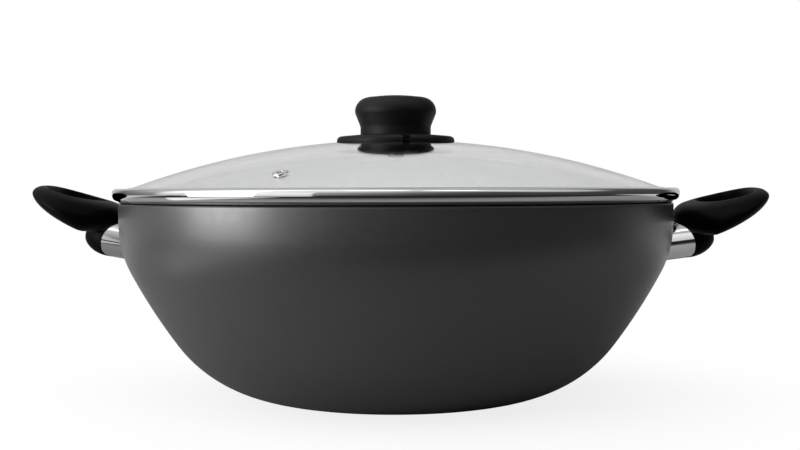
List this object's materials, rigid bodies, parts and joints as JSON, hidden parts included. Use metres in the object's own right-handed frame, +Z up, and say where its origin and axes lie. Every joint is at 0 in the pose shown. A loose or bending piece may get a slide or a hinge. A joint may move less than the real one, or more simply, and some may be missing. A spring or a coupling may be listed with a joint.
{
  "type": "lidded nonstick wok",
  "caption": "Deep nonstick wok with loop handles and a domed glass lid with a steel rim, vent and knob.",
  "frame": {"origin": "centre of the flat base on the table", "axes": "+Z up, +X from the left handle to the right handle, -Y towards the front, which is the pictured side"},
  "size_m": [0.435, 0.332, 0.1784],
  "materials": {
    "coated_aluminium": "satin",
    "polished_steel": "polished",
    "plain_steel": "satin",
    "phenolic": "satin",
    "glass": "clear",
    "brass": "plain",
    "silicone": "matt"
  },
  "bodies": {
    "pot": {"pot_body": "coated_aluminium", "boss_left": "plain_steel", "boss_right": "plain_steel", "ferrule_left": "polished_steel", "ferrule_right": "polished_steel", "handle_left": "phenolic", "handle_right": "phenolic", "handle_washer_left": "plain_steel", "handle_washer_right": "plain_steel", "handle_screw_left": "plain_steel", "handle_screw_right": "plain_steel"},
    "lid": {"lid_glass": "glass", "lid_rim": "polished_steel", "vent_eyelet": "polished_steel", "knob_plate": "phenolic", "knob": "phenolic", "knob_insert": "brass", "upper_gasket": "silicone", "lower_gasket": "silicone", "under_washer": "phenolic", "spring_washer": "plain_steel", "knob_screw": "plain_steel"}
  },
  "joints": [
    {"name": "lid_lift", "type": "slide", "parent": "pot", "child": "lid", "axis": [0, 0, 1], "range_m": [0, 0.2]}
  ]
}
